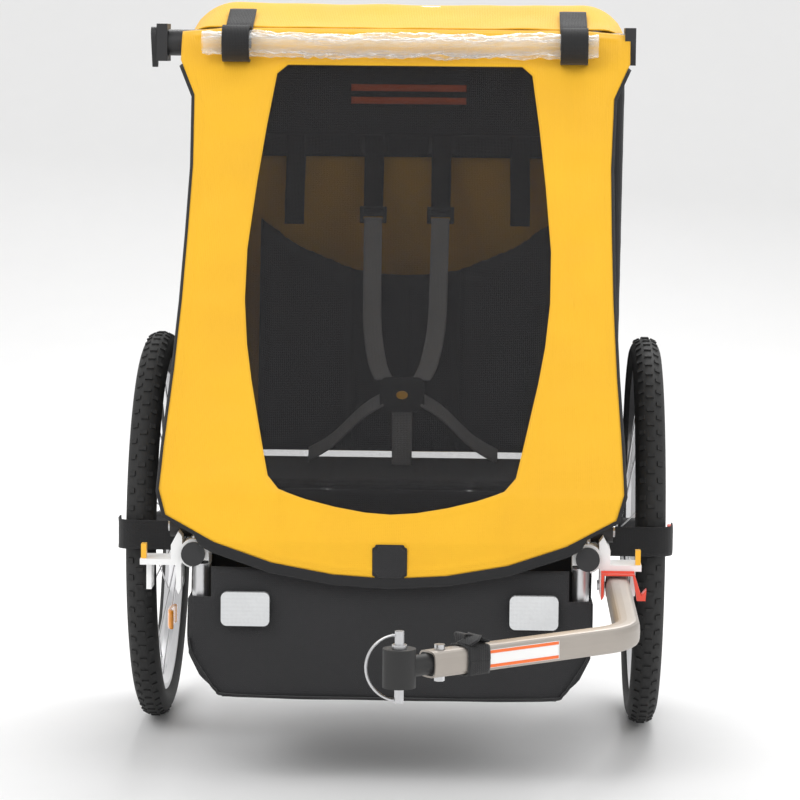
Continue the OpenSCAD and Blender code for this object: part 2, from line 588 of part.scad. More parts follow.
// Spokes leave the two flanges in turn and lean forwards and backwards in pairs.
spoke_d = 2;
spoke_lean = 5;
module spokes() spin() for (i = [0:spoke_n - 1]) {
    side = i % 2 == 0 ? flange_in : flange_out;
    lean = floor(i / 2) % 2 == 0 ? spoke_lean : -spoke_lean;
    drop = side < 0 ? -4 : 4;
    run = rim_in - flange_r - 0.4;
    rotate(i * 360 / spoke_n) translate([flange_r + 0.2, 0, side]) rotate([0, 90 + atan2(side - drop, run), 0])
        cylinder(d = spoke_d, h = norm([run, side - drop]));
}
module left_tyre() color([0.09, 0.09, 0.09]) place() tyre();
module right_tyre() color([0.09, 0.09, 0.09]) place() mirror([1, 0, 0]) tyre();
module left_rim() color("silver") place() rim();
module right_rim() color("silver") place() mirror([1, 0, 0]) rim();
module left_spokes() color("silver") place() spokes();
module right_spokes() color("silver") place() mirror([1, 0, 0]) spokes();
module left_hub() color([0.2, 0.2, 0.21]) place() hub();
module right_hub() color([0.2, 0.2, 0.21]) place() mirror([1, 0, 0]) hub();
// The axle's end stands past the hub by the button's travel and the length of its stem.
hub_end = wheel_x + flange_out + 1.5;
button_stem = 2;
button_gap = 0.8;
button_seat = hub_end + button_travel + button_stem + 0.5;
module wheel_axles() color("gray") place() both() difference() {
    x_rod(axle_d, socket_in, button_seat, 0, axle_z);
    x_rod(6 + 0.1, button_seat - 16, button_seat + 1, 0, axle_z);
}
button_out = button_seat + button_travel + button_gap + 6;
module button() {
    x_rod(15.6, button_seat + button_travel + button_gap, button_out, 0, axle_z);
    x_rod(6, button_seat - button_stem, button_seat + button_travel + button_gap, 0, axle_z);
}
module left_button() color([0.85, 0.25, 0.15]) place() button();
module right_button() color([0.85, 0.25, 0.15]) place() mirror([1, 0, 0]) button();

// --- tow bar ---------------------------------------------------------------------------
plug_len = 30;
bolt_d = 6;
corner_steps = 4;
crown = 0.3;
// Points round a square of side w with arcs of radius r at its corners and sides that
// bulge by the crown.
function square_points(w, r) = [for (q = [0:3]) let (c = w / 2 - crown - r,
        s = q == 0 || q == 3 ? 1 : -1, t = q < 2 ? 1 : -1)
    each concat([[w / 2 * cos(q * 90), w / 2 * sin(q * 90)]],
        [for (k = [0:corner_steps]) let (a = q * 90 + k * 90 / corner_steps)
            [s * c + r * cos(a), t * c + r * sin(a)]])];
module tow_section() polygon(square_points(tow_w, 7));
module tow_hollow() polygon(square_points(tow_w - 2 * tube_wall, 5));
// The bend's frame: it starts at the end of the straight side run.
module at_bend() translate([tow_x, -tow_bend_y, tow_pivot_z]) children();
module tow_sweep() {
    at_bend() rotate([-90, 0, 0]) linear_extrude(tow_bend_y - tow_pivot_y) children();
    at_bend() translate([-tow_bend_r, 0, 0]) rotate_extrude(angle = -tow_bend_a)
        translate([tow_bend_r, 0]) children();
    at_bend() translate([-tow_bend_r, 0, 0]) rotate(-tow_bend_a) translate([tow_bend_r, 0, 0])
        rotate([90, 0, 0]) linear_extrude(tow_run) children();
}
module tow_tube() color([0.65, 0.61, 0.57]) place() difference() {
    union() {
        tow_sweep() tow_section();
        x_rod(tow_w - 1, tow_x - tow_w / 2 + 1, tow_x + tow_w / 2 - 1, -tow_pivot_y, tow_pivot_z);
    }
    at_end() translate([0, 0, -plug_len - 4]) linear_extrude(plug_len + 10) tow_hollow();
    at_end() translate([0, 0, -16]) rotate([90, 0, 0]) translate([0, 0, -30]) cylinder(d = bolt_d + 0.2, h = 60);
    x_rod(pin_d + 2 * pin_clear, tow_x - 30, tow_x + 30, -tow_pivot_y, tow_pivot_z);
}
// The frame at the tube's open end, +Z pointing out of the tube.
module at_end() translate([tow_end_x, tow_end_y, tow_pivot_z]) rotate(-tow_bend_a) rotate([90, 0, 0]) children();
module tow_pivot_pin() color("gray") place() {
    x_rod(pin_d, tow_in - cheek_t, tow_out + cheek_t, -tow_pivot_y, tow_pivot_z);
    x_rod(pin_d + 4, tow_in - cheek_t - 2.5, tow_in - cheek_t, -tow_pivot_y, tow_pivot_z);
}

// The red latch is a spring clip that straddles the tow tube in front of its receiver.
latch_y = receiver_y0 - 0.3;
latch_w = 16;
module tow_latch() color([0.92, 0.3, 0.24]) place() {
    face_slab(latch_y - latch_w, latch_y) polygon([[tow_in - 4.6, arm_z - 1], [tow_out + 4, arm_z - 1],
        [tow_out + 12, tow_pivot_z - 6], [tow_out + 18, tow_pivot_z + 1], [tow_out + 17, tow_pivot_z - 12],
        [tow_out + 7, tow_pivot_z - 12], [tow_out + 2, arm_z - 3], [tow_in - 1.6, arm_z - 3],
        [tow_in - 1.6, tow_pivot_z - 8], [tow_in - 4.6, tow_pivot_z - 12]]);
    x_rod(4, tow_in - 4.6, tow_out + 4, latch_y - 2.5, arm_z - 1);
}

// The flexible connector plugs into the tow tube and carries the hitch pin's eye.
eye_h = 40;
module flex_connector() color([0.1, 0.1, 0.1]) place() difference() {
    union() {
        at_end() translate([0, 0, -plug_len]) linear_extrude(plug_len)
            polygon(square_points(tow_w - 2 * tube_wall - 0.3, 5));
        at_end() cylinder(r = 11, h = hitch_out);
        translate([hitch_x, hitch_y, tow_pivot_z - eye_h / 2]) cylinder(d = hitch_head, h = eye_h);
    }
    translate([hitch_x, hitch_y, tow_pivot_z - eye_h]) cylinder(d = hitch_d + 0.08, h = 2 * eye_h);
    at_end() translate([0, 0, -16]) rotate([90, 0, 0]) translate([0, 0, -30]) cylinder(d = bolt_d + 0.2, h = 60);
}
module connector_bolt() color("gray") place() at_end() translate([0, 0, -16]) rotate([90, 0, 0]) {
    translate([0, 0, -tow_w / 2 - 3]) cylinder(d = bolt_d, h = tow_w + 6);
    translate([0, 0, tow_w / 2 + 0.1]) cylinder(d = 11, h = 5, $fn = 6);
    translate([0, 0, -tow_w / 2 - 5]) cylinder(d = 11, h = 4.9);
}

// The hitch pin stands in the eye on its collar, with its tip free for the hitch plate.
pin_top = 18;
pin_tip = 16;
collar_h = 4;
loop_d = 3;
loop_r = eye_h / 2 + 14;
loop_a = 12;
keeper_x = -loop_r * sin(loop_a);
keeper_z = loop_r * cos(loop_a);
module at_hitch() translate([hitch_x, hitch_y, tow_pivot_z]) children();
module hitch_pin() color("gainsboro") place() at_hitch() difference() {
    union() {
        translate([0, 0, -eye_h / 2 - pin_tip]) cylinder(d = hitch_d, h = eye_h + pin_tip + pin_top);
        translate([0, 0, eye_h / 2 + 0.2]) cylinder(d = hitch_d + 6, h = collar_h);
    }
    x_rod(loop_d + 2 * pin_clear, -hitch_d, hitch_d, 0, keeper_z);
}

// The keeper is a wire bow: its upper end turns in a cross hole through the pin's head
// and its lower end bears on the pin's side.
keeper_in = 3;
module pin_keeper() color("gainsboro") place() at_hitch() {
    rotate([90, 0, 0]) rotate(90 + loop_a) rotate_extrude(angle = 180 - 2 * loop_a)
        translate([loop_r, 0]) circle(d = loop_d);
    x_rod(loop_d, keeper_x - 0.5, keeper_in, 0, keeper_z);
    x_rod(loop_d, keeper_x - 0.5, -hitch_d / 2 - 0.1, 0, -keeper_z);
}

// The safety strap is looped round the tow tube's end, in case the hitch comes apart.
module safety_strap() color([0.06, 0.06, 0.06]) place() at_end() translate([0, 0, -70]) difference() {
    linear_extrude(28) rounded(tow_w + 7, tow_w + 7, 9);
    translate([0, 0, -1]) linear_extrude(30) rounded(tow_w + 2 * soft_gap, tow_w + 2 * soft_gap, 7.3);
}

side_rails();
rail_end_caps();
axle_tube();
rear_tube();
foot_hoop();
axle_blocks();
rear_blocks();
left_receiver();
right_receiver();
receiver_tabs();
receiver_screws();
wheel_guards();
foot_box();
seat_pan();
front_reflectors();
rear_reflectors();
hinge_pins();
wheel_axles();
rear_hoop();
shoulder_tube();
left_elbow();
right_elbow();
elbow_lever();
roof_rails();
harness_bar();
front_struts();
strut_feet();
strut_heads();
front_cover();
mesh_window();
cover_patch();
roof_panel();
rear_panel();
side_panels();
rain_roll();
roll_straps();
seat_back();
upper_webbing();
lower_webbing();
harness_buckle();
buckle_button();
crotch_strap();
left_tyre();
right_tyre();
left_rim();
right_rim();
left_spokes();
right_spokes();
left_hub();
right_hub();
left_button();
right_button();
tow_tube();
tow_pivot_pin();
tow_latch();
flex_connector();
hitch_pin();
pin_keeper();
connector_bolt();
safety_strap();
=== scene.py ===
# %% [markdown]
# # A child bicycle trailer
# The frame, wheels and tow bar come from the CAD model. This file gives them their
# finishes and sews the cloth around them. Lengths in the tables below are millimetres,
# measured from the wheel axle, and are turned into metres by one function.

# %% Load the frame
import bpy, bmesh, math
from mathutils import Vector, Matrix, noise


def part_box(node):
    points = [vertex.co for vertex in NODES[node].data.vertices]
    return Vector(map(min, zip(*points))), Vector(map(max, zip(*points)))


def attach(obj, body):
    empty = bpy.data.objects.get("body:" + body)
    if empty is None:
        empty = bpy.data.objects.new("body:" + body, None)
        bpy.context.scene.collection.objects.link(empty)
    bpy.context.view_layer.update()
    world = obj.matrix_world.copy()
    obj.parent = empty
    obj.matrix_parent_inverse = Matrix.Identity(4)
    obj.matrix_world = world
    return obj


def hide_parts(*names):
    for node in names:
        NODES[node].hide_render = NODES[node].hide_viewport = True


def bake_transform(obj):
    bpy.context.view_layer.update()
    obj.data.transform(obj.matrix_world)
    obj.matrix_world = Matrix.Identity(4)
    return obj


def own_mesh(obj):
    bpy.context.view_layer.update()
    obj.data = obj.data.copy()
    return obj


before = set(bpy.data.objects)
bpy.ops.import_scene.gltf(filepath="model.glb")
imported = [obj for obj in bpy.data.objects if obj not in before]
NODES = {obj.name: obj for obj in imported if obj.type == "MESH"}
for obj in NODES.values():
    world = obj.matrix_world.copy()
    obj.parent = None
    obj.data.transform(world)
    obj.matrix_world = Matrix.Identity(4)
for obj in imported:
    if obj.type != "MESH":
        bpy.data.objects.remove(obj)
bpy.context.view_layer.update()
hub_low, hub_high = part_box("left_hub")
AXLE = (hub_low.y + hub_high.y) / 2
print("nodes", len(NODES), "axle at", round(AXLE, 4))


def at(x, y, z):
    """A place in millimetres from the axle, as metres in the frame."""
    return Vector((x / 1000, y / 1000 + AXLE, z / 1000))


# %% [markdown]
# ## Camera, floor and light
# A long lens from more than four metres keeps the wheels upright. Three broad lamps and a
# pale world give the soft, even light of a catalogue studio.

# %% Camera
camera = bpy.data.objects.new("camera", bpy.data.cameras.new("camera"))
bpy.context.collection.objects.link(camera)
SENSOR, FOCAL_SHARE = 36, 4.082875
camera.data.lens = FOCAL_SHARE * SENSOR
camera.data.sensor_width = SENSOR
yaw, pitch, roll = 0.0285, 0.1079, 0.0098
camera.matrix_world = (Matrix.Translation(at(117.5, -4200, 870)) @ Matrix.Rotation(yaw, 4, "Z")
                       @ Matrix.Rotation(math.pi / 2 - pitch, 4, "X") @ Matrix.Rotation(roll, 4, "Z"))
bpy.context.scene.camera = camera
print("lens", round(camera.data.lens, 1))

# %% Floor and lamps
floor_mesh = bpy.data.meshes.new("floor")
bm = bmesh.new()
bmesh.ops.create_grid(bm, x_segments=1, y_segments=120, size=14)
SWEEP_Y, SWEEP_LONG, CURVE = 3.0, 4, 0.35
for vert in bm.verts:
    back = max(0.0, vert.co.y - SWEEP_Y)
    past = max(0.0, back - SWEEP_LONG)
    curved = back - past
    vert.co.z = CURVE * curved ** 2 + 2 * CURVE * SWEEP_LONG * past
for face in bm.faces:
    face.smooth = True
bm.to_mesh(floor_mesh)
bm.free()
floor = bpy.data.objects.new("floor", floor_mesh)
bpy.context.collection.objects.link(floor)


def lamp(name, place, aim, size, power):
    data = bpy.data.lights.new(name, "AREA")
    data.size, data.energy = size, power
    obj = bpy.data.objects.new(name, data)
    obj.location = place
    obj.rotation_euler = (Vector(aim) - Vector(place)).to_track_quat("-Z", "Y").to_euler()
    bpy.context.collection.objects.link(obj)


lamp("key", (-2.2, -2.6, 3.4), (0, 0, 0.4), 2.6, 62)
lamp("fill", (2.8, -2.4, 2.2), (0, 0, 0.4), 2.6, 30)
lamp("back", (0.3, 2.4, 2.6), (0, 0, 0.5), 2.0, 75)
world = bpy.data.worlds.new("studio")
bpy.context.scene.world = world
world.use_nodes = True
world.node_tree.nodes["Background"].inputs["Color"].default_value = (1, 1, 1, 1)
world.node_tree.nodes["Background"].inputs["Strength"].default_value = 0.8
bpy.context.scene.view_settings.view_transform = "Standard"
print("three lamps")

# %% [markdown]
# ## Finishes
# Two effects are shared by many finishes, so each is a node group: a woven weave, and the
# faint mottling and scuffs that handling leaves. The groups give only heights and masks.

# %% Shared effects
def new_group(name, inputs, outputs):
    group = bpy.data.node_groups.new(name, "ShaderNodeTree")
    for label, value in inputs.items():
        group.interface.new_socket(label, in_out="INPUT", socket_type="NodeSocketFloat").default_value = value
    for label in outputs:
        group.interface.new_socket(label, in_out="OUTPUT", socket_type="NodeSocketFloat")
    return group, group.nodes.new("NodeGroupInput"), group.nodes.new("NodeGroupOutput")


def math_node(tree, operation, a, b=None):
    node = tree.nodes.new("ShaderNodeMath")
    node.operation = operation
    for slot_i, value in enumerate((a, b)):
        if hasattr(value, "is_linked"):
            tree.links.new(value, node.inputs[slot_i])
        elif value is not None:
            node.inputs[slot_i].default_value = value
    return node.outputs[0]


# The weave: two crossed sets of threads, and slow cloudy variation over the cloth.
weave, w_in, w_out = new_group("weave", {"Threads": 420.0}, ["Height", "Cloud"])
coords = weave.nodes.new("ShaderNodeTexCoord")
split = weave.nodes.new("ShaderNodeSeparateXYZ")
weave.links.new(coords.outputs["Object"], split.inputs[0])
lengthwise = math_node(weave, "ADD", split.outputs["Y"], split.outputs["Z"])
waves = []
for along in (split.outputs["X"], lengthwise):
    turn = math_node(weave, "MULTIPLY", along, w_in.outputs["Threads"])
    waves.append(math_node(weave, "SINE", math_node(weave, "MULTIPLY", turn, 2 * math.pi)))
weave.links.new(math_node(weave, "MAXIMUM", waves[0], waves[1]), w_out.inputs["Height"])
cloud = weave.nodes.new("ShaderNodeTexNoise")
cloud.inputs["Scale"].default_value = 9
weave.links.new(coords.outputs["Object"], cloud.inputs["Vector"])
weave.links.new(cloud.outputs["Fac"], w_out.inputs["Cloud"])

# Wear: fine grain for the height, and broad patches for the roughness.
wear, r_in, r_out = new_group("wear", {"Grain": 900.0, "Patches": 14.0}, ["Height", "Patch"])
coords = wear.nodes.new("ShaderNodeTexCoord")
for label, out in (("Grain", "Height"), ("Patches", "Patch")):
    tex = wear.nodes.new("ShaderNodeTexNoise")
    tex.inputs["Detail"].default_value = 4
    wear.links.new(coords.outputs["Object"], tex.inputs["Vector"])
    wear.links.new(r_in.outputs[label], tex.inputs["Scale"])
    wear.links.new(tex.outputs["Fac"], r_out.inputs[out])
print("weave and wear")


# %% Make one finish
def finish(name, dark, light, rough, group, settings, bump, bump_size=0.0004, **sockets):
    """A Principled finish between two close colours, with the group's height as bump."""
    mat = bpy.data.materials.new(name)
    mat.use_nodes = True
    tree = mat.node_tree
    shader = tree.nodes["Principled BSDF"]
    effect = tree.nodes.new("ShaderNodeGroup")
    effect.node_tree = group
    for label, value in settings.items():
        effect.inputs[label].default_value = value
    tone = tree.nodes.new("ShaderNodeMix")
    tone.data_type = "RGBA"
    tone.inputs[6].default_value = (*dark, 1)
    tone.inputs[7].default_value = (*light, 1)
    tree.links.new(effect.outputs[1], tone.inputs[0])
    tree.links.new(tone.outputs[2], shader.inputs["Base Color"])
    spread = tree.nodes.new("ShaderNodeMapRange")
    spread.inputs["To Min"].default_value, spread.inputs["To Max"].default_value = rough
    tree.links.new(effect.outputs[1], spread.inputs["Value"])
    tree.links.new(spread.outputs[0], shader.inputs["Roughness"])
    relief = tree.nodes.new("ShaderNodeBump")
    relief.inputs["Strength"].default_value = bump
    relief.inputs["Distance"].default_value = bump_size
    tree.links.new(effect.outputs[0], relief.inputs["Height"])
    tree.links.new(relief.outputs[0], shader.inputs["Normal"])
    for label, value in sockets.items():
        shader.inputs[label.replace("_", " ")].default_value = value
    return mat


def cloth(name, dark, light, threads, bump=0.35, **more):
    return finish(name, dark, light, (0.78, 0.92), weave, {"Threads": threads}, bump, Sheen_Weight=0.15, **more)


def hard(name, dark, light, rough, grain=900.0, bump=0.12, **more):
    return finish(name, dark, light, rough, wear, {"Grain": grain}, bump, **more)


# %% [markdown]
# ## The cloths, metals and plastics
# Cover and roof are yellow polyester; the floor, seat and bindings are black. Tubes are
# satin anodised, the tow bar a warmer taupe, and the receivers are white powder coat.

# %% List the finishes
M = {
    "yellow": cloth("yellow_cloth", (0.80, 0.41, 0.010), (0.93, 0.52, 0.018), 460),
    # A darker copy of the yellow cloth: painted shade for the rear panel, which sits in shadow behind the netting.
    "yellow_painted_shade": cloth("shaded_cloth", (0.62, 0.33, 0.02), (0.76, 0.42, 0.03), 460),
    "black_cloth": cloth("black_cloth", (0.010, 0.010, 0.011), (0.022, 0.022, 0.024), 380),
    "binding": cloth("binding", (0.006, 0.006, 0.007), (0.014, 0.014, 0.015), 620, 0.5),
    "webbing": cloth("grey_webbing", (0.24, 0.24, 0.25), (0.33, 0.33, 0.335), 520, 0.6),
    "black_webbing": cloth("black_webbing", (0.007, 0.007, 0.008), (0.016, 0.016, 0.017), 520, 0.6),
    "stripe": cloth("stripe", (0.86, 0.13, 0.03), (0.98, 0.22, 0.05), 600),
    "alloy": hard("alloy", (0.60, 0.60, 0.61), (0.74, 0.74, 0.75), (0.28, 0.42), Metallic=1.0),
    "tow_alloy": hard("tow_alloy", (0.36, 0.325, 0.29), (0.44, 0.40, 0.36), (0.36, 0.48), Metallic=0.6),
    "steel": hard("steel", (0.50, 0.50, 0.51), (0.66, 0.66, 0.67), (0.24, 0.38), Metallic=1.0),
    "white_cast": hard("white_cast", (0.80, 0.80, 0.80), (0.90, 0.90, 0.89), (0.38, 0.50), 500.0, 0.2),
    "black_plastic": hard("black_plastic", (0.012, 0.012, 0.013), (0.024, 0.024, 0.026), (0.42, 0.58), 1400.0, 0.3),
    "red_plastic": hard("red_plastic", (0.72, 0.055, 0.03), (0.84, 0.09, 0.05), (0.26, 0.36)),
    "yellow_plastic": hard("yellow_plastic", (0.86, 0.42, 0.02), (0.98, 0.54, 0.04), (0.28, 0.40)),
    "rubber": hard("tyre_rubber", (0.012, 0.012, 0.012), (0.026, 0.026, 0.026), (0.66, 0.84), 1100.0, 0.35),
    "soft_rubber": hard("soft_rubber", (0.010, 0.010, 0.010), (0.020, 0.020, 0.020), (0.50, 0.66)),
    "amber": hard("amber", (0.80, 0.26, 0.01), (0.95, 0.36, 0.02), (0.10, 0.18), Coat_Weight=0.6),
    "label": hard("label", (0.84, 0.84, 0.83), (0.92, 0.92, 0.91), (0.30, 0.40)),
}
print(len(M), "finishes")


# %% [markdown]
# Reflectors are moulded as tiny prisms, so a cell pattern tips their surface. The window
# is open netting, and the rolled rain cover is clear film that shines only at its folds.

# %% Reflectors, netting and film
def prisms(name, dark, light):
    mat = hard(name, dark, light, (0.08, 0.16), Coat_Weight=0.8)
    tree = mat.node_tree
    cells = tree.nodes.new("ShaderNodeTexVoronoi")
    cells.inputs["Scale"].default_value = 210
    cells.inputs["Randomness"].default_value = 0.0
    place = tree.nodes.new("ShaderNodeTexCoord")
    tree.links.new(place.outputs["Object"], cells.inputs["Vector"])
    relief = next(n for n in tree.nodes if n.type == "BUMP")
    relief.inputs["Strength"].default_value = 0.9
    relief.inputs["Distance"].default_value = 0.0012
    tree.links.new(cells.outputs["Distance"], relief.inputs["Height"])
    return mat


M["clear_prism"] = prisms("clear_prism", (0.52, 0.53, 0.54), (0.72, 0.73, 0.74))
M["red_prism"] = prisms("red_prism", (0.42, 0.01, 0.008), (0.62, 0.02, 0.015))

M["netting"] = cloth("netting", (0.008, 0.008, 0.009), (0.016, 0.016, 0.018), 760)
net = M["netting"].node_tree
net_shader = net.nodes["Principled BSDF"]
threads = next(n for n in net.nodes if n.type == "GROUP")
opening = net.nodes.new("ShaderNodeMapRange")
opening.inputs["From Min"].default_value, opening.inputs["From Max"].default_value = 0.15, 0.75
opening.inputs["To Min"].default_value, opening.inputs["To Max"].default_value = 0.16, 0.46
net.links.new(threads.outputs[0], opening.inputs["Value"])
net.links.new(opening.outputs[0], net_shader.inputs["Alpha"])

film = bpy.data.materials.new("clear_film")
film.use_nodes = True
film_shader = film.node_tree.nodes["Principled BSDF"]
film_shader.inputs["Base Color"].default_value = (0.86, 0.88, 0.90, 1)
film_shader.inputs["Roughness"].default_value = 0.06
facing = film.node_tree.nodes.new("ShaderNodeLayerWeight")
facing.inputs["Blend"].default_value = 0.45
cover_share = film.node_tree.nodes.new("ShaderNodeMapRange")
cover_share.inputs["To Min"].default_value, cover_share.inputs["To Max"].default_value = 0.07, 0.60
film.node_tree.links.new(facing.outputs["Facing"], cover_share.inputs["Value"])
film.node_tree.links.new(cover_share.outputs[0], film_shader.inputs["Alpha"])
M["film"] = film

M["floor"] = hard("floor", (0.86, 0.86, 0.86), (0.88, 0.88, 0.88), (0.85, 0.9))
floor.data.materials.append(M["floor"])
print(len(M), "finishes in all")

# %% Give the CAD pieces their finishes
CAD_FINISH = {
    "alloy": "side_rails axle_tube rear_tube foot_hoop rear_hoop shoulder_tube roof_rails front_struts "
             "left_rim right_rim",
    "black_plastic": "rail_end_caps axle_blocks rear_blocks left_elbow right_elbow elbow_lever strut_feet "
                     "strut_heads harness_buckle left_hub right_hub",
    "white_cast": "left_receiver right_receiver",
    "steel": "receiver_screws hinge_pins wheel_axles left_spokes right_spokes tow_pivot_pin hitch_pin "
             "pin_keeper connector_bolt",
    "yellow_plastic": "receiver_tabs buckle_button",
    "red_plastic": "left_button right_button tow_latch",
    "clear_prism": "front_reflectors",
    "red_prism": "rear_reflectors",
    "tow_alloy": "tow_tube",
    "soft_rubber": "flex_connector",
}
for key, names in CAD_FINISH.items():
    for name in names.split():
        mesh = NODES[name].data
        mesh.materials.clear()
        mesh.materials.append(M[key])
print("finished", sum(len(v.split()) for v in CAD_FINISH.values()), "CAD pieces")

# %% [markdown]
# ## Sewing tools
# Every flat of cloth starts as a bmesh grid whose points are moved to their place by one
# function of across and along. A strap is the same grid, laid along a smooth line.

# %% Cloth from a grid
def link(name, bm, material, thick=0.0, round_off=0):
    mesh = bpy.data.meshes.new(name)
    bm.to_mesh(mesh)
    bm.free()
    mesh.materials.append(M[material])
    for face in mesh.polygons:
        face.use_smooth = True
    obj = bpy.data.objects.new(name, mesh)
    bpy.context.collection.objects.link(obj)
    if thick:
        solid = obj.modifiers.new("thick", "SOLIDIFY")
        solid.thickness, solid.offset = thick / 1000, 0
    if round_off:
        soften = obj.modifiers.new("soft", "SUBSURF")
        soften.levels = soften.render_levels = round_off
    return obj


def grid_cloth(name, across, along, place, material, thick=1.2, keep=None, smooth=0):
    """place(u, v) gives millimetres for u and v from 0 to 1; keep(u, v) drops openings."""
    bm = bmesh.new()
    bmesh.ops.create_grid(bm, x_segments=across, y_segments=along, size=0.5)
    if keep:
        gone = [f for f in bm.faces if not keep(f.calc_center_median().x + 0.5, f.calc_center_median().y + 0.5)]
        bmesh.ops.delete(bm, geom=gone, context="FACES")
    for vert in bm.verts:
        vert.co = at(*place(vert.co.x + 0.5, vert.co.y + 0.5))
    bmesh.ops.remove_doubles(bm, verts=bm.verts, dist=1e-6)
    bmesh.ops.recalc_face_normals(bm, faces=bm.faces)
    return link(name, bm, material, thick, smooth)


def diamond(u, v):
    """Keeps a square sheet's middle and drops its corners."""
    return abs(u - 0.5) + abs(v - 0.5) < 0.87


def ripple(x, y, z, size, seed=0.0):
    return noise.noise(Vector((x / size + seed, y / size, z / size - seed)))


def line_at(points, t):
    """A point a share t of the way along a smooth line through the points."""
    n = len(points) - 1
    i = min(int(t * n), n - 1)
    f = t * n - i
    p = [Vector(points[min(max(i + k, 0), n)]) for k in (-1, 0, 1, 2)]
    return 0.5 * ((2 * p[1]) + (p[2] - p[0]) * f + (2 * p[0] - 5 * p[1] + 4 * p[2] - p[3]) * f * f
                  + (3 * p[1] - p[0] - 3 * p[2] + p[3]) * f ** 3)


def strap(name, points, width, thick, material, side=(1, 0, 0), steps=40):
    """A flat strap along points, its width laid along side, its middle proud of its edges."""
    side = Vector(side).normalized()

    def place(u, v):
        here, ahead = line_at(points, v), line_at(points, min(v + 0.01, 1)) - line_at(points, max(v - 0.01, 0))
        out = ahead.cross(side).normalized()
        edge = 0.35 if 0.1 < u < 0.9 else 0.0
        return here + side * (u - 0.5) * width + out * edge

    return grid_cloth(name, 8, steps, place, material, thick)


print("grid, ripple, strap")

# %% [markdown]
# ## The front cover
# One sheet of yellow cloth is stretched over the front struts, with a netting window let
# into it. It is a ring of cloth between the window's edge and the cover's edge, so its
# grid follows both seams. Ridges mark the turned edges, and soft billows run up its sides.

# %% The line the cover follows up the front
STRUT_A = math.radians(50.47)
HEM_Z = 300
FRONT_LINE = [(-435, 225), (-435, 262), (-434, 294), (-410, 345), (-352, 417), (-200, 601), (-60, 771),
              (20, 868), (33, 881), (49, 891), (66, 893)]


def cover_y(z):
    """The cover's y at height z, in millimetres from the axle."""
    for (y0, z0), (y1, z1) in zip(FRONT_LINE, FRONT_LINE[1:]):
        if z <= z1 or (y1, z1) == FRONT_LINE[-1]:
            share = max(0.0, (z - z0) / (z1 - z0))
            return y0 + (y1 - y0) * share


WINDOW = [(0, 845), (80, 845), (150, 845), (163, 834), (172, 770), (180, 700), (187, 620), (186, 560), (180, 510),
          (172, 470), (156, 405), (146, 366), (132, 351), (100, 341), (66, 333), (30, 327), (0, 325)]
EDGE = [(0, 892), (110, 892), (222, 892), (289, 886), (288, 850), (267, 806), (262, 720), (262, 640), (263, 560),
        (266, 480), (271, 400), (273, 350), (264, 322), (205, 292), (138, 269), (66, 256), (0, 252)]


def both_sides(points):
    """The loop of points down one side and back up the other."""
    return [(x, z) for x, z in points] + [(-x, z) for x, z in points[-2:0:-1]]


window_loop, edge_loop = both_sides(WINDOW), both_sides(EDGE)


def on_loop(loop, u):
    n = len(loop)
    i, f = int(u * n) % n, u * n - int(u * n)
    (x0, z0), (x1, z1) = loop[i], loop[(i + 1) % n]
    return x0 + (x1 - x0) * f, z0 + (z1 - z0) * f


def cover_place(u, v, lift=0.0):
    ix, iz = on_loop(window_loop, u)
    ox, oz = on_loop(edge_loop, u)
    x, z = ix + (ox - ix) * v, iz + (oz - iz) * v
    billow = 2.6 * ripple(x * 0.5, 0, z * 1.6, 46) * math.sin(math.pi * v)
    crease = 2.2 * math.exp(-((x - 216) / 9) ** 2) if 560 < z < 850 else 0.0
    seam = 1.0 * math.exp(-((v - 0.07) / 0.03) ** 2) + 1.0 * math.exp(-((v - 0.88) / 0.025) ** 2)
    corner = 1.2 * math.exp(-((abs(x) - 130) / 4) ** 2) if z < 352 else 0.0
    out = billow - crease + seam + corner + lift
    return x, cover_y(z) - out * math.sin(STRUT_A), z + out * math.cos(STRUT_A) * (0.2 if z < HEM_Z else 1)


# %% Cut and hang the cover
front_cover = grid_cloth("cover_front", 256, 34, cover_place, "yellow", 1.4)


def hem_place(u, v):
    x, y, z = cover_place(u, 1.0)
    return x * (1 + 0.012 * v), y - 0.8, z - 9 * v * (1 if z < HEM_Z else 0) - 3 * v


def beside_hem(u, v):
    x, z = on_loop(edge_loop, u)
    return z < 842


cover_binding = grid_cloth("cover_binding", 256, 3, hem_place, "binding", 2.6, beside_hem)


def window_half(z):
    """Half the window's width at height z."""
    side = [p for p in WINDOW if p[0] > 130]
    for (x0, z0), (x1, z1) in zip(side, side[1:]):
        if z >= z1:
            return x0 + (x1 - x0) * min(1.0, max(0.0, (z0 - z) / (z0 - z1)))
    return side[-1][0]


def net_place(u, v):
    p = 2 * u - 1
    z = (322 + 30 * p * p) * (1 - v) + 847 * v
    x = p * (window_half(z) + 3)
    return x, cover_y(z) + 1.5 + 1.5 * ripple(x, 0, z, 70, 3), z


window_net = grid_cloth("window_netting", 48, 90, net_place, "netting", 0.5)
print("cover", len(front_cover.data.polygons), "faces")

# %% The badge below the window
badge = grid_cloth("cover_badge", 8, 8, lambda u, v: (38 * (u - 0.5), -437.6, 253 + 38 * v), "black_cloth", 1.6,
                   diamond, 1)
badge_rim = grid_cloth("badge_rim", 12, 12, lambda u, v: (41 * (u - 0.5), -436.8, 251.5 + 41 * v), "binding", 1.0,
                       diamond, 1)
print("badge sewn on")

# %% [markdown]
# ## Roof, rear and sides
# The roof is one sheet that rounds down over the hoop's bends. The rear panel leans with
# the hoop, and each side panel fills the space between strut, rail and hoop.

# %% Roof
ROOF_LINE = [(54, 893), (80, 902), (120, 915), (156, 926), (172, 924), (181, 912), (185, 900)]


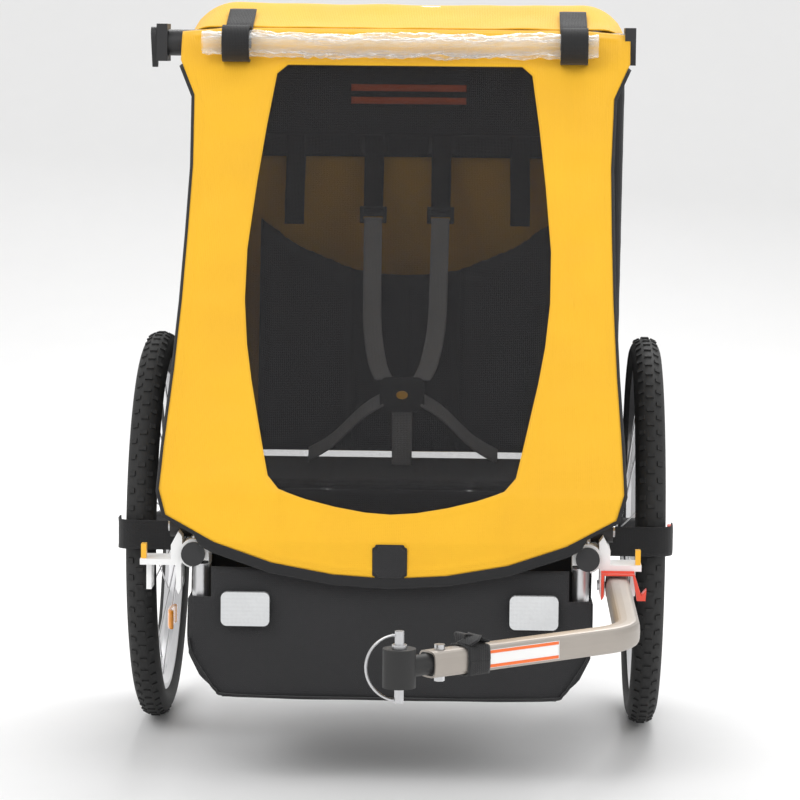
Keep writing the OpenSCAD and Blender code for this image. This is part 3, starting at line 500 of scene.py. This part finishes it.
def roof_place(u, v):
    spread, along = 2 * u - 1, line_at([(0, y, z) for y, z in ROOF_LINE], v)
    flat, radius = 255 - 51 * v, 33 + 48 * v
    s = abs(spread) * (flat + 1.35 * radius)
    turn = max(0.0, s - flat) / radius
    x = math.copysign(min(s, flat) + radius * math.sin(turn), spread)
    sag = 5 * math.sin(math.pi * min(1.0, v * 1.4)) * (1 - spread ** 2) if v < 0.71 else 0
    seam = 0.8 * math.exp(-((abs(spread) - 0.93) / 0.012) ** 2)
    return x, along.y, along.z - radius * (1 - math.cos(turn)) - sag + seam + 1.5 * ripple(x, along.y, 0, 60, 5)


roof = grid_cloth("roof_cloth", 80, 30, roof_place, "yellow", 1.6)

# %% Rear panel
# The rear hoop's foot, and how far it leans forwards for each millimetre of height.
HOOP_FOOT_Y, HOOP_FOOT_Z = 280, 302
LEAN = math.tan(math.radians(11.147))


def hoop_y(z):
    return HOOP_FOOT_Y - (z - HOOP_FOOT_Z) * LEAN


def rear_place(low, high, half, off=14.0):
    def place(u, v):
        x, z = (2 * u - 1) * half, low + (high - low) * v
        slack = 2.5 * ripple(x, 0, z, 90, 7)
        return x, hoop_y(z) + off + slack, z
    return place


# The lower rear panel wears the darker yellow copy, as painted shade.
rear_lower = grid_cloth("rear_lower_cloth", 40, 40, rear_place(312, 746, 233), "yellow_painted_shade", 1.4)
rear_band = grid_cloth("rear_band", 40, 12, rear_place(742, 852, 233, 13.2), "black_cloth", 1.6)
rear_upper = grid_cloth("rear_upper_cloth", 40, 8, rear_place(848, 903, 233), "yellow", 1.4)
stripes = [grid_cloth(f"rear_stripe_{i}", 20, 2, rear_place(z, z + 9, 77, 11.4), "stripe", 0.8)
           for i, z in enumerate((793, 810))]
print("roof and rear panel")


# %% Side panels
def side_place(sign):
    corner = [(-350, 341), (262, 334), (30, 800), (186, 800)]

    def place(u, v):
        low = Vector(corner[0]).lerp(Vector(corner[1]), u)
        high = Vector(corner[2]).lerp(Vector(corner[3]), u)
        y, z = low.lerp(high, v)
        bow = 3.0 * math.sin(math.pi * u) * math.sin(math.pi * v)
        return sign * (266 - bow + 1.2 * ripple(0, y, z, 80, sign)), y, z - 6 * math.sin(math.pi * u) * (1 - v)
    return place


sides = {sign: grid_cloth(f"side_cloth_{name}", 44, 40, side_place(sign), "black_cloth", 1.4)
         for sign, name in ((1, "left"), (-1, "right"))}


def hoop_sleeve(sign):
    def place(u, v):
        turn, up = 2 * math.pi * u, 70 + 470 * v
        reach = 13.4 + 0.5 * ripple(turn * 12, 0, up, 25, 19)
        y, z = HOOP_FOOT_Y - up * math.sin(math.atan(LEAN)), HOOP_FOOT_Z + up * math.cos(math.atan(LEAN))
        return sign * 274 + reach * math.cos(turn), y + reach * math.sin(turn), z
    return place


sleeves = [grid_cloth(f"hoop_sleeve_{name}", 32, 60, hoop_sleeve(sign), "black_cloth", 1.0)
           for sign, name in ((1, "left"), (-1, "right"))]
print("side panels and sleeves")

# %% [markdown]
# ## Rolled rain cover
# Clear film rolled two and a half turns and strapped at both ends. It crinkles, and sags a
# little between its straps.

# %% Roll and its straps
ROLL_TURNS = 2.5
roll_low, roll_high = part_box("rain_roll")
ROLL_Y, ROLL_Z = [(a + b) * 500 for a, b in ((roll_low.y - AXLE, roll_high.y - AXLE), (roll_low.z, roll_high.z))]


def roll_place(u, v):
    x = -260 + 507 * u
    turn = ROLL_TURNS * 2 * math.pi * v
    bulge = 4.2 * ripple(x * 0.5, turn * 9, 0, 17, 9) + 2.6 * ripple(x, turn * 22, 0, 8, 2)
    radius = 9 + 8 * v + bulge * min(1.0, 1.2 - 0.4 * v)
    return x, ROLL_Y + radius * math.cos(turn), ROLL_Z - 3 * math.sin(math.pi * u) + radius * math.sin(turn)


rain_roll = grid_cloth("rain_film", 150, 120, roll_place, "film", 0)


def loop_round(x, radius):
    ring = [(x, ROLL_Y + radius * math.cos(a), ROLL_Z + radius * math.sin(a))
            for a in [math.radians(30 - 36 * k) for k in range(10)]]
    return [(x, 112, 916), (x, 82, 905), (x, 58, 897), (x, 40, 890), (x, ROLL_Y + 16, ROLL_Z + 22)] + ring


roll_straps = [strap(f"roll_strap_{name}", loop_round(sign * 216, 23), 35, 1.8, "black_webbing", steps=60)
               for sign, name in ((1, "left"), (-1, "right"))]
print("roll at", round(ROLL_Y), round(ROLL_Z))

# %% [markdown]
# ## Foot box
# A sewn trough of heavy black cloth hangs from the rails. Its section is chamfered, so
# the floor narrows; front and rear walls are separate pieces bound at their edges.

# %% Trough and walls
BOX_FRONT, BOX_LONG = -422, 300
WALL_FOOT, WALL_HIGH = 107, 155
SECTION = [(-236, 262), (-237, 215), (-237, 175), (-232, 155), (-218, 132), (-205, 114), (-190, 108), (-100, 106),
           (0, 106), (100, 106), (190, 108), (205, 114), (218, 132), (232, 155), (237, 175), (237, 215), (236, 262)]


def trough_place(u, v):
    edge = line_at([(x, 0, z) for x, z in SECTION], u)
    y = BOX_FRONT + BOX_LONG * v
    pull = 2.0 * ripple(edge.x, y, edge.z, 70, 11)
    return edge.x - math.copysign(abs(pull), edge.x), y, edge.z + abs(pull) * 0.5


def clear_of_receiver(x, z, y=BOX_FRONT):
    """False in the front top corners, where the receivers stand."""
    return not (abs(x) > 211 and z > 224 and y < -373)


def trough_keep(u, v):
    edge = line_at([(x, 0, z) for x, z in SECTION], u)
    return clear_of_receiver(edge.x, edge.z, BOX_FRONT + BOX_LONG * v)


def wall_place(y):
    def place(u, v):
        z = WALL_FOOT + WALL_HIGH * v
        half = 196 + (z - WALL_FOOT) * 1.1 if z < 132 else min(236, 223 + (z - 132) * 0.5)
        x = (2 * u - 1) * half
        return x, y + 1.6 * ripple(x, 0, z, 60, 13), z - 3 * math.sin(math.pi * u) * v
    return place


trough = grid_cloth("foot_trough", 96, 50, trough_place, "black_cloth", 2.4, trough_keep)
front_wall = grid_cloth("foot_front_wall", 72, 30, wall_place(-421.5), "black_cloth", 2.4,
                        lambda u, v: clear_of_receiver(wall_place(0)(u, v)[0], WALL_FOOT + WALL_HIGH * v))
rear_wall = grid_cloth("foot_rear_wall", 60, 30, wall_place(-122), "black_cloth", 2.4)


def apron_place(u, v):
    return 222 * (2 * u - 1), -127 + 3 * v + 1.5 * ripple(u * 400, 0, v * 60, 50, 17), 258 + 56 * v


def luggage_place(u, v):
    return 216 * (2 * u - 1), 96 + 168 * v, 306 - 6 * math.sin(math.pi * u) * math.sin(math.pi * v)


apron = grid_cloth("seat_apron", 40, 10, apron_place, "black_cloth", 1.4)
luggage_floor = grid_cloth("luggage_floor", 40, 20, luggage_place, "black_cloth", 1.4)
foot_hem = strap("foot_hem", [(x * 0.998, -423.6, z + 2) for x, z in SECTION[2:-2]], 9, 1.4, "binding",
                 (0, 1, 0), 90)
print("foot box")

# %% [markdown]
# ## Padded seat
# Pan and back are thin foam sewn in cloth. Each starts as a slightly small slab, which a
# cloth simulation blows up a little, and sewn channels are then pressed into it.

# %% Blow up a pad
def puff(name, outline, depth, turn, cap, channels):
    """outline is in the pad's own plane, in millimetres; turn places it in the frame."""
    bm = bmesh.new()
    face = bm.faces.new([bm.verts.new((x, 0, z)) for x, z in outline])
    grown = bmesh.ops.extrude_face_region(bm, geom=[face])["geom"]
    bmesh.ops.translate(bm, vec=(0, depth, 0), verts=[g for g in grown if isinstance(g, bmesh.types.BMVert)])
    bmesh.ops.recalc_face_normals(bm, faces=bm.faces)
    bmesh.ops.scale(bm, vec=(0.001, 0.001, 0.001), verts=bm.verts)
    obj = link(name, bm, "black_cloth")
    remesh = obj.modifiers.new("even", "REMESH")
    remesh.mode, remesh.voxel_size = "VOXEL", 0.005
    bpy.context.view_layer.objects.active = obj
    bpy.ops.object.select_all(action="DESELECT")
    obj.select_set(True)
    bpy.ops.object.modifier_apply(modifier="even")
    before = [v.co.copy() for v in obj.data.vertices]
    swell = obj.modifiers.new("swell", "CLOTH")
    swell.settings.use_pressure = True
    swell.settings.uniform_pressure_force = 4
    swell.settings.effector_weights.gravity = 0
    for step in range(1, 21):
        bpy.context.scene.frame_set(step)
    bpy.ops.object.modifier_apply(modifier="swell")
    bpy.context.scene.frame_set(1)
    for vert, old in zip(obj.data.vertices, before):
        move = vert.co - old
        if move.length > cap / 1000:
            vert.co = old + move.normalized() * cap / 1000
        x, y, z = (c * 1000 for c in vert.co)
        groove = sum(math.exp(-((x - c) / 5) ** 2) for c in channels) * 3.5
        vert.co.y += (groove if y < depth / 2 else -groove) / 1000
    obj.data.transform(turn)
    for face in obj.data.polygons:
        face.use_smooth = True
    soften = obj.modifiers.new("soft", "SUBSURF")
    soften.levels = soften.render_levels = 1
    return obj


BACK_LEAN = math.atan2(172 - 118, 650 - 323.4)
back_turn = Matrix.Translation(at(0, 118 - 3, 325)) @ Matrix.Rotation(-BACK_LEAN, 4, "X")
seat_back = puff("seat_back_pad", [(-202, 2), (202, 2), (202, 322), (150, 290), (75, 260), (0, 250), (-75, 260),
                                   (-150, 290), (-202, 322)], 6, back_turn, 5, (-70, 0, 70))
seat_turn = Matrix.Translation(at(0, 0, 319)) @ Matrix.Rotation(math.radians(-90), 4, "X")
seat_pan = puff("seat_pan_pad", [(-212, -124), (212, -124), (212, 148), (-212, 148)], 6, seat_turn, 5, (-90, 90))
print("pads", len(seat_back.data.vertices), len(seat_pan.data.vertices))

# %% Seat straps over the rails
seat_flaps = [strap(f"seat_flap_{i}", [(s * 205, y, 318), (s * 219, y, 306), (s * 231, y, 292), (s * 238, y, 291)],
                    30, 2.0, "black_webbing", (0, 1, 0), 16)
              for i, (s, y) in enumerate([(1, -45), (1, 45), (-1, -45), (-1, 45)])]
print(len(seat_flaps), "flaps")

# %% [markdown]
# ## Harness
# Two black shoulder straps hang from the crossbar to slides, and grey webbing goes on to
# the buckle and the hips.

# %% Crossbar, straps and slides
BAR_Z = 737


def bar_front(z):
    return hoop_y(z) + 4


def slide(name, x, y, z, wide, lean=-15):
    """A moulded ladder slide: a small grid with two slots, made solid and rounded."""
    def place(u, v):
        return x + (u - 0.5) * wide, y + math.tan(math.radians(lean)) * (v - 0.5) * -22, z + (v - 0.5) * 22
    obj = grid_cloth(name, 7, 5, place, "black_plastic", 3.4,
                     lambda u, v: not (0.15 < u < 0.85 and (0.2 < v < 0.4 or 0.6 < v < 0.8)))
    edge = obj.modifiers.new("edge", "BEVEL")
    edge.width, edge.segments = 0.0007, 2
    return obj


crossbar = strap("harness_crossbar", [(x, bar_front(BAR_Z) + 2 + 3 * math.cos(x / 90), BAR_Z)
                                      for x in range(-232, 233, 29)], 30, 6.0, "black_webbing", (0, 0, 1), 60)
harness = {"rear": [crossbar], "chassis": [], "squash": []}
for s, side_name in ((1, "left"), (-1, "right")):
    inner = [(s * 45, bar_front(751) - 3, 751), (s * 45, 184, 715), (s * 45, 172, 678), (s * 45, 163, 646)]
    outer = [(s * 150, bar_front(751) - 3, 751), (s * 150, 188, 715), (s * 151, 179, 672), (s * 151, 170, 632)]
    harness["rear"] += [strap(f"shoulder_strap_{side_name}", inner, 26, 2.0, "black_webbing"),
                        strap(f"outer_strap_{side_name}", outer, 26, 2.0, "black_webbing"),
                        slide(f"slide_upper_{side_name}", s * 45, bar_front(BAR_Z) - 5, BAR_Z, 36),
                        slide(f"slide_lower_{side_name}", s * 45, 160, 646, 36)]
    chest = [(s * 45, 158, 642), (s * 44, 122, 560), (s * 42, 92, 500), (s * 34, 52, 458), (s * 24, 28, 438)]
    hip = [(s * 24, 20, 414), (s * 52, 22, 396), (s * 92, 44, 356), (s * 124, 72, 334)]
    harness["squash"].append(strap(f"chest_strap_{side_name}", chest, 24, 2.0, "webbing"))
    harness["chassis"].append(strap(f"hip_strap_{side_name}", hip, 24, 2.0, "webbing", (0, 0.75, 0.66)))
harness["chassis"].append(strap("crotch_webbing", [(0, 20, 402), (0, 22, 378), (0, 29, 348), (0, 35, 326)], 26, 2.0,
                                "webbing"))
print("harness", sum(len(v) for v in harness.values()))

# %% [markdown]
# ## Wheels
# A tyre is one section spun round the axle. Its tread is small blocks set round it in
# three rows, on top of the plain CAD tyre's shape. One wheel carries an amber reflector.

# %% Tyres and tread
WHEEL_X, WHEEL_R = 313, 250
SECTION_R, RING_R = 0.0188, 0.2295
TREAD_ROWS = ((0, 0, (9, 5)), (-10.5, 26, (7, 6)), (10.5, -26, (7, 6)))
BLOCKS, BLOCK_HIGH = 72, 0.0026


def tyre(name, sign):
    bm = bmesh.new()
    centre = at(sign * WHEEL_X, 0, WHEEL_R)
    ring = bmesh.ops.create_circle(bm, segments=28, radius=SECTION_R)["verts"]
    bmesh.ops.translate(bm, vec=(0, RING_R, 0), verts=ring)
    bmesh.ops.translate(bm, vec=centre, verts=ring)
    edges = list({e for v in ring for e in v.link_edges})
    bmesh.ops.spin(bm, geom=ring + edges, cent=centre, axis=(1, 0, 0), angle=2 * math.pi, steps=96, use_merge=True)
    bmesh.ops.recalc_face_normals(bm, faces=bm.faces)
    for i in range(BLOCKS):
        for row, (across, tilt, size) in enumerate(TREAD_ROWS):
            radius = RING_R + SECTION_R * math.cos(math.radians(tilt * 1.25)) + 0.0002
            turn = Matrix.Rotation(2 * math.pi * (i + 0.5 * (row > 0)) / BLOCKS, 4, "X")
            place = (Matrix.Translation(centre) @ turn @ Matrix.Translation((across / 1000, 0, radius))
                     @ Matrix.Rotation(math.radians(-tilt), 4, "Y")
                     @ Matrix.Diagonal((size[0] / 1000, size[1] / 1000, BLOCK_HIGH, 1)))
            bmesh.ops.create_cube(bm, size=1, matrix=place)
    obj = link(name, bm, "rubber")
    for face in obj.data.polygons:
        face.use_smooth = len(face.vertices) == 4 and face.area > 0.00006
    return obj


tyres = {"left": tyre("tyre_left", 1), "right": tyre("tyre_right", -1)}
amber = grid_cloth("spoke_reflector", 10, 6, lambda u, v: (-296 + 5 * abs(2 * u - 1) ** 4, -30 + 54 * (u - 0.5),
                                                           132 + 26 * (v - 0.5)), "amber", 6.0,
                   lambda u, v: abs(u - 0.5) + abs(v - 0.5) < 0.88, 1)
guards = [strap(f"wheel_guard_{name}", [(s * 246, -250, 274), (s * 256, -262, 274), (s * 290, -264, 274),
                (s * 322, -263, 274), (s * 337, -252, 274), (s * 339, -222, 274)], 36, 1.8, "black_webbing", (0, 0, 1))
          for s, name in ((1, "left"), (-1, "right"))]
print("tyres", len(tyres["left"].data.polygons), "faces each")

# %% [markdown]
# ## Tow bar trimmings
# A plain sticker with a band along each edge lies on the slanting run. The safety strap
# is webbing looped round the tube's end, with its slack bunched on top.

# %% Sticker and safety strap
# RUN points back along the slanting run from its END, FACE out of its front, UP upwards.
BEND = math.radians(51)
RUN = Vector((math.sin(BEND), math.cos(BEND), 0))
FACE = Vector((RUN.y, -RUN.x, 0))
UP = Vector((0, 0, 1))
END = Vector((54.3, -908.2, 242))


def on_run(d, out, up):
    return END + RUN * d + FACE * out + UP * up


sticker = grid_cloth("tow_sticker", 24, 6, lambda u, v: on_run(62 + 102 * u, 14.5, 19 * (v - 0.5)), "label", 0.4)
bands = [grid_cloth(f"tow_band_{i}", 24, 4, lambda u, v, h=h: on_run(63 + 100 * u, 14.9, h + 3.2 * (v - 0.5)),
                    "stripe", 0.4) for i, h in enumerate((-7.4, 7.4))]


def sleeve_place(u, v):
    turn = 2 * math.pi * u
    reach = 15.6 / max(abs(math.cos(turn)), abs(math.sin(turn))) ** 0.72
    swell = 0.8 * ripple(turn * 20, v * 30, 0, 12, 4)
    return on_run(42 + 28 * v, (reach + swell) * math.cos(turn), (reach + swell) * math.sin(turn))


sleeve = grid_cloth("safety_sleeve", 48, 10, sleeve_place, "black_webbing", 2.0)
bunch = []
for i, w in ((0, 1), (1, -1)):
    loop = [on_run(44 + 4 * i, 4 * w, 17), on_run(50, 9 * w, 22 + 3 * i), on_run(60, 2, 25 - 2 * i),
            on_run(68, -8 * w, 19), on_run(64, 3 * w, 17)]
    bunch.append(strap(f"safety_strap_{i}", loop, 22 - 4 * i, 1.8, "black_webbing", FACE))
print("tow bar trimmed")

# %% [markdown]
# ## Fasten everything
# Each piece rides on the body that carries it and stands for its plain CAD solid.

# %% Ride and replace
for piece in (front_cover, cover_binding, window_net, badge, badge_rim):
    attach(piece, "chassis")
    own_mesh(piece)
for piece in (roof, rear_lower, rear_band, rear_upper, *stripes, *sleeves, rain_roll, *roll_straps, *harness["rear"]):
    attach(piece, "rear_frame")
for piece in sides.values():
    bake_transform(piece)
for piece in (trough, front_wall, rear_wall, apron, luggage_floor, foot_hem, seat_pan, *seat_flaps, *guards,
              *harness["chassis"], seat_back):
    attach(piece, "chassis")
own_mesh(seat_back)
for piece in harness["squash"]:
    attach(piece, "chassis")
    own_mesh(piece)
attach(tyres["left"], "left_wheel")
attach(tyres["right"], "right_wheel")
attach(amber, "right_wheel")
for piece in (sticker, *bands, sleeve, *bunch):
    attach(piece, "tow_bar")
for piece, *nodes in ((front_cover, "front_cover"), (window_net, "mesh_window"), (badge, "cover_patch"),
                      (roof, "roof_panel"), (rear_lower, "rear_panel"), (sides[1], "side_panels"),
                      (rain_roll, "rain_roll"), (roll_straps[0], "roll_straps"), (trough, "foot_box"),
                      (seat_pan, "seat_pan"), (seat_back, "seat_back"), (crossbar, "harness_bar"),
                      (harness["rear"][1], "upper_webbing"), (harness["squash"][0], "lower_webbing"),
                      (harness["chassis"][-1], "crotch_strap"), (guards[0], "wheel_guards"),
                      (tyres["left"], "left_tyre"), (tyres["right"], "right_tyre"), (sleeve, "safety_strap")):
    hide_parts(*nodes)
print("fastened")

# %% [markdown]
# ## Say what is cloth and what is padded
# A sheet's flat size is what it was cut to before it was sewn on.

# %% List the sheets and their cut sizes
# Each row: the cut's width and length, its area where the cut isn't a rectangle, and what it rests on. The sizes are
# worked out from each panel's outline.
SHEETS = {front_cover: (0.58, 0.84, 0.200, "front_struts"), window_net: (0.374, 0.68, 0.230, "cover_front"),
          roof: (0.61, 0.152, None, "rear_hoop"), rear_lower: (0.466, 0.442, None, "rear_hoop"),
          rear_band: (0.466, 0.112, None, "rear_lower_cloth"), rear_upper: (0.466, 0.056, None, "rear_band"),
          sides[1]: (0.62, 0.47, 0.177, "front_struts"), sides[-1]: (0.62, 0.47, 0.177, "front_struts"),
          trough: (0.73, 0.30, 0.213, "side_rails"), front_wall: (0.47, 0.155, 0.067, "foot_trough"),
          apron: (0.444, 0.056, None, "seat_pan_pad"), luggage_floor: (0.432, 0.168, None, "side_rails"),
          rear_wall: (0.47, 0.155, 0.070, "foot_trough"), rain_roll: (0.51, 0.225, None, "roll_strap_left")}
for obj, (wide, long, area, on) in SHEETS.items():
    made = sum(face.area for face in obj.data.polygons)
    print(obj.name, "made", round(made, 3), "cut", round(area or wide * long, 3))
